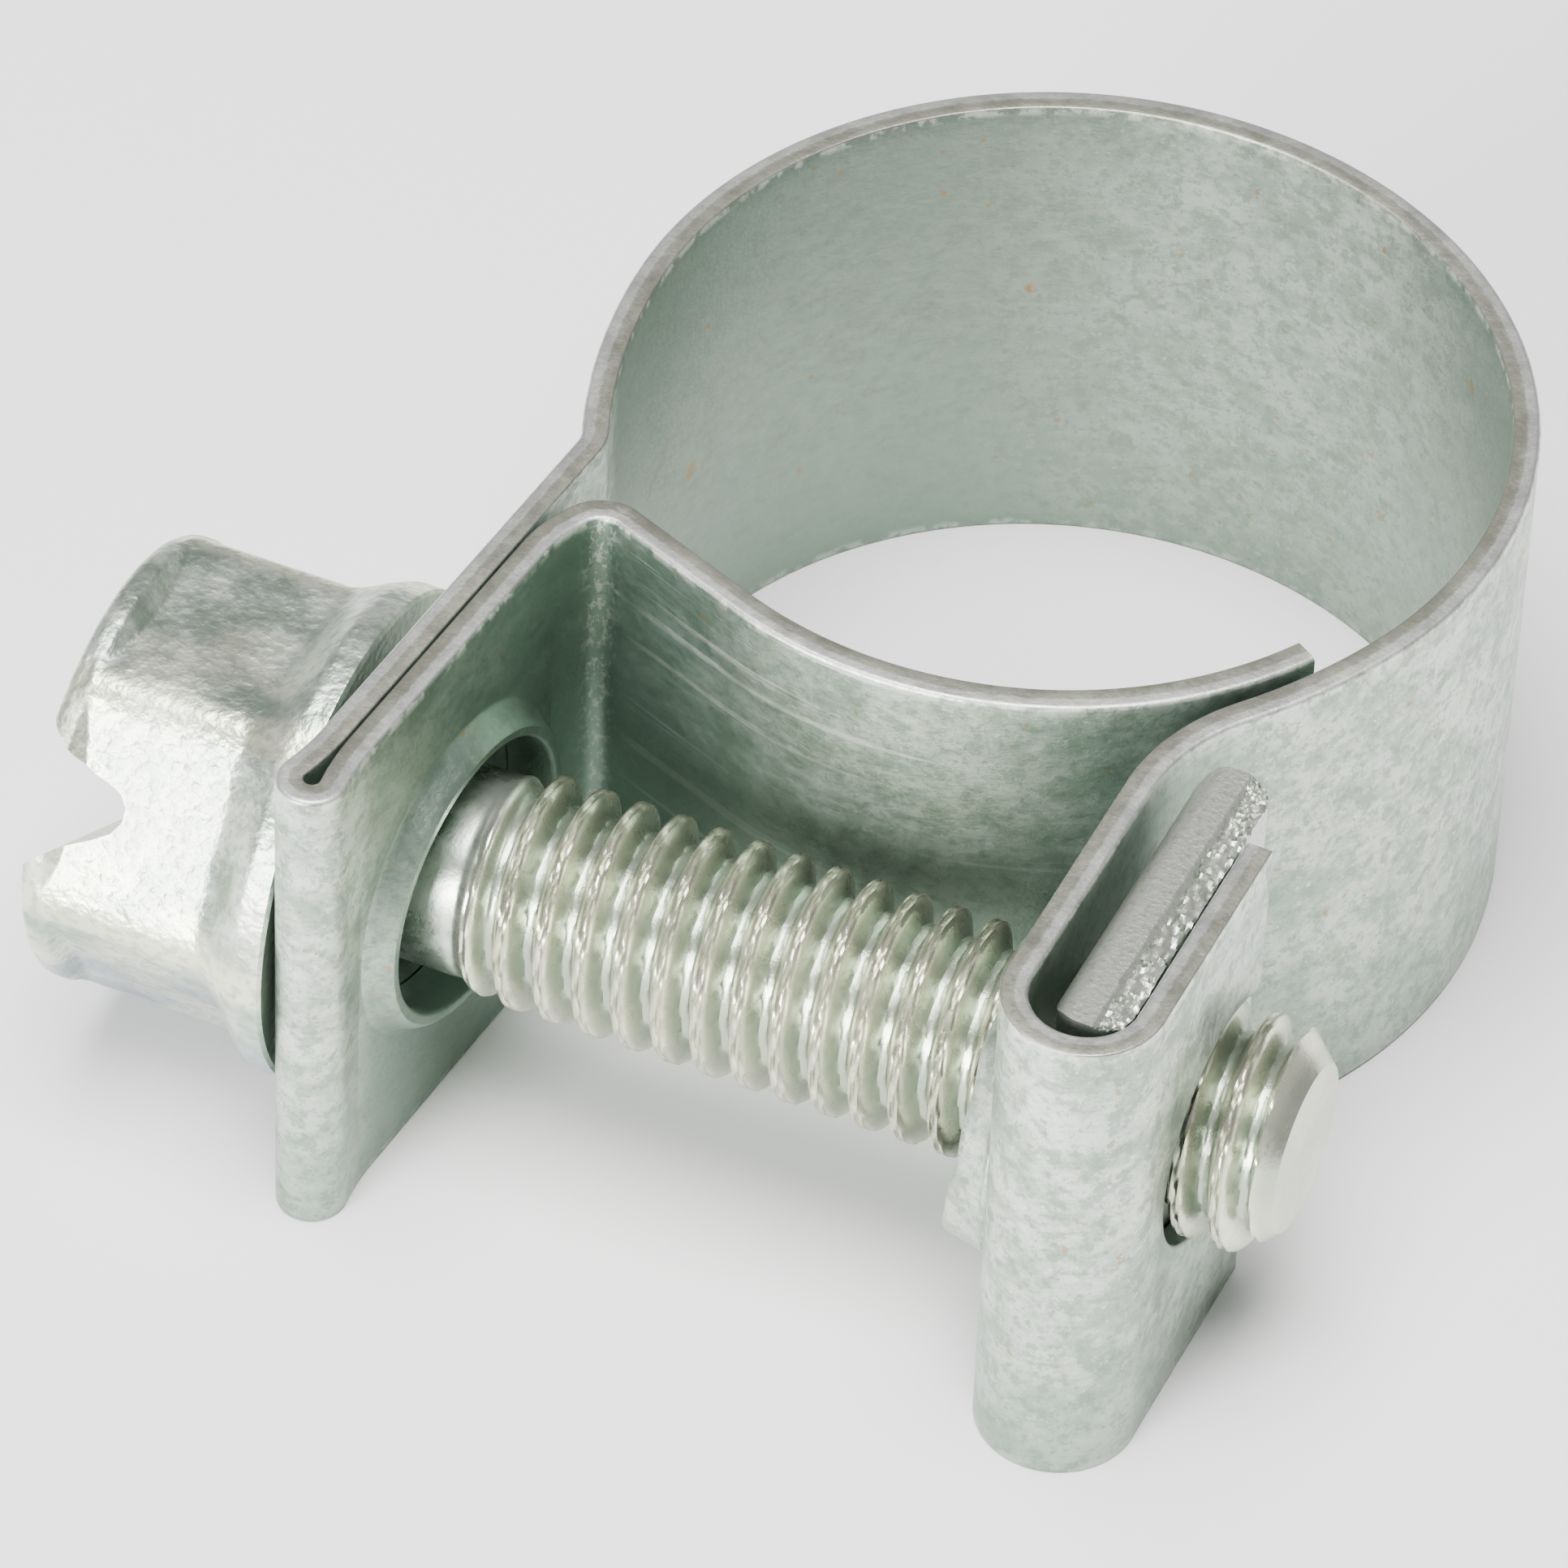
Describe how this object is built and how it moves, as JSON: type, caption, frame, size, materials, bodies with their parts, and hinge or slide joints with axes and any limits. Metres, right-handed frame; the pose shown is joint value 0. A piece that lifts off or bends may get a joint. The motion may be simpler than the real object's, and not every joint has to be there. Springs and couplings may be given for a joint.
{
  "type": "hose clamp",
  "caption": "Small bolted hose clamp: a folded zinc-plated steel strip round the hose, closed by a slotted hex flange screw through two ears into a plate nut.",
  "frame": {"origin": "middle of the bottom of the box round the whole clamp, on the plane of the lower strip edge", "axes": "+X along the screw from its head to its tip, +Y from the ears toward the loop, +Z along the hose"},
  "size_m": [0.0212, 0.0218, 0.0098],
  "materials": {
    "zinc_strip": "zinc-plated cold-rolled strip, satin, with sheared edges",
    "zinc_screw": "zinc-plated cold-headed steel, fine pebbled head, bright rolled thread",
    "zinc_nut": "zinc-plated punched steel plate with a torn edge"
  },
  "bodies": {
    "screw_ear": {"band_screw_ear": "zinc_strip"},
    "loop_1": {"band_loop_1": "zinc_strip"},
    "loop_2": {"band_loop_2": "zinc_strip"},
    "loop_3": {"band_loop_3": "zinc_strip"},
    "loop_4": {"band_loop_4": "zinc_strip"},
    "loop_5": {"band_loop_5": "zinc_strip"},
    "loop_6": {"band_loop_6": "zinc_strip"},
    "tongue_1": {"band_tongue_1": "zinc_strip"},
    "tongue_2": {"band_tongue_2": "zinc_strip"},
    "tongue_3": {"band_tongue_3": "zinc_strip"},
    "nut_ear": {"band_nut_ear": "zinc_strip", "plate_nut": "zinc_nut"},
    "screw": {"clamp_screw": "zinc_screw"}
  },
  "joints": [
    {"name": "screw_turn", "type": "hinge", "parent": "screw_ear", "child": "screw", "pos_m": [0.0022, -0.00666, 0.0049], "axis": [1, 0, 0], "range_deg": [0, 2520]},
    {"name": "loop_flex_1", "type": "hinge", "parent": "screw_ear", "child": "loop_1", "pos_m": [-0.00458, -0.00111, 0.0049], "axis": [0, 0, 1], "range_deg": [0, 15.46]},
    {"name": "loop_flex_2", "type": "hinge", "parent": "loop_1", "child": "loop_2", "pos_m": [-0.00531, 0.00419, 0.0049], "axis": [0, 0, 1], "range_deg": [-5.29, 0]},
    {"name": "loop_flex_3", "type": "hinge", "parent": "loop_2", "child": "loop_3", "pos_m": [-0.00276, 0.00884, 0.0049], "axis": [0, 0, 1], "range_deg": [-7.63, 0]},
    {"name": "loop_flex_4", "type": "hinge", "parent": "loop_3", "child": "loop_4", "pos_m": [0.0022, 0.01069, 0.0049], "axis": [0, 0, 1], "range_deg": [-7.15, 0]},
    {"name": "loop_flex_5", "type": "hinge", "parent": "loop_4", "child": "loop_5", "pos_m": [0.00773, 0.0083, 0.0049], "axis": [0, 0, 1], "range_deg": [-9.42, 0]},
    {"name": "loop_flex_6", "type": "hinge", "parent": "loop_5", "child": "loop_6", "pos_m": [0.00978, 0.00263, 0.0049], "axis": [0, 0, 1], "range_deg": [0, 3.68]},
    {"name": "loop_flex_7", "type": "hinge", "parent": "loop_6", "child": "nut_ear", "pos_m": [0.00725, -0.0029, 0.0049], "axis": [0, 0, 1], "range_deg": [0, 10.3]},
    {"name": "tongue_flex_1", "type": "hinge", "parent": "screw_ear", "child": "tongue_1", "pos_m": [-0.0037, -0.00261, 0.0049], "axis": [0, 0, 1], "range_deg": [0, 37.6]},
    {"name": "tongue_flex_2", "type": "hinge", "parent": "tongue_1", "child": "tongue_2", "pos_m": [-0.00058, -0.00371, 0.0049], "axis": [0, 0, 1], "range_deg": [-14.43, 0]},
    {"name": "tongue_flex_3", "type": "hinge", "parent": "tongue_2", "child": "tongue_3", "pos_m": [0.00421, -0.00373, 0.0049], "axis": [0, 0, 1], "range_deg": [0, 9.88]}
  ],
  "couplings": [
    {"joint": "loop_flex_1", "follows": "screw_turn", "ratio": 0.0061141},
    {"joint": "loop_flex_2", "follows": "screw_turn", "ratio": -0.0020779},
    {"joint": "loop_flex_3", "follows": "screw_turn", "ratio": -0.0030092},
    {"joint": "loop_flex_4", "follows": "screw_turn", "ratio": -0.0028164},
    {"joint": "loop_flex_5", "follows": "screw_turn", "ratio": -0.0037192},
    {"joint": "loop_flex_6", "follows": "screw_turn", "ratio": 0.001439},
    {"joint": "loop_flex_7", "follows": "screw_turn", "ratio": 0.0040695},
    {"joint": "tongue_flex_1", "follows": "screw_turn", "ratio": 0.014899},
    {"joint": "tongue_flex_2", "follows": "screw_turn", "ratio": -0.0057074},
    {"joint": "tongue_flex_3", "follows": "screw_turn", "ratio": 0.0038989}
  ]
}
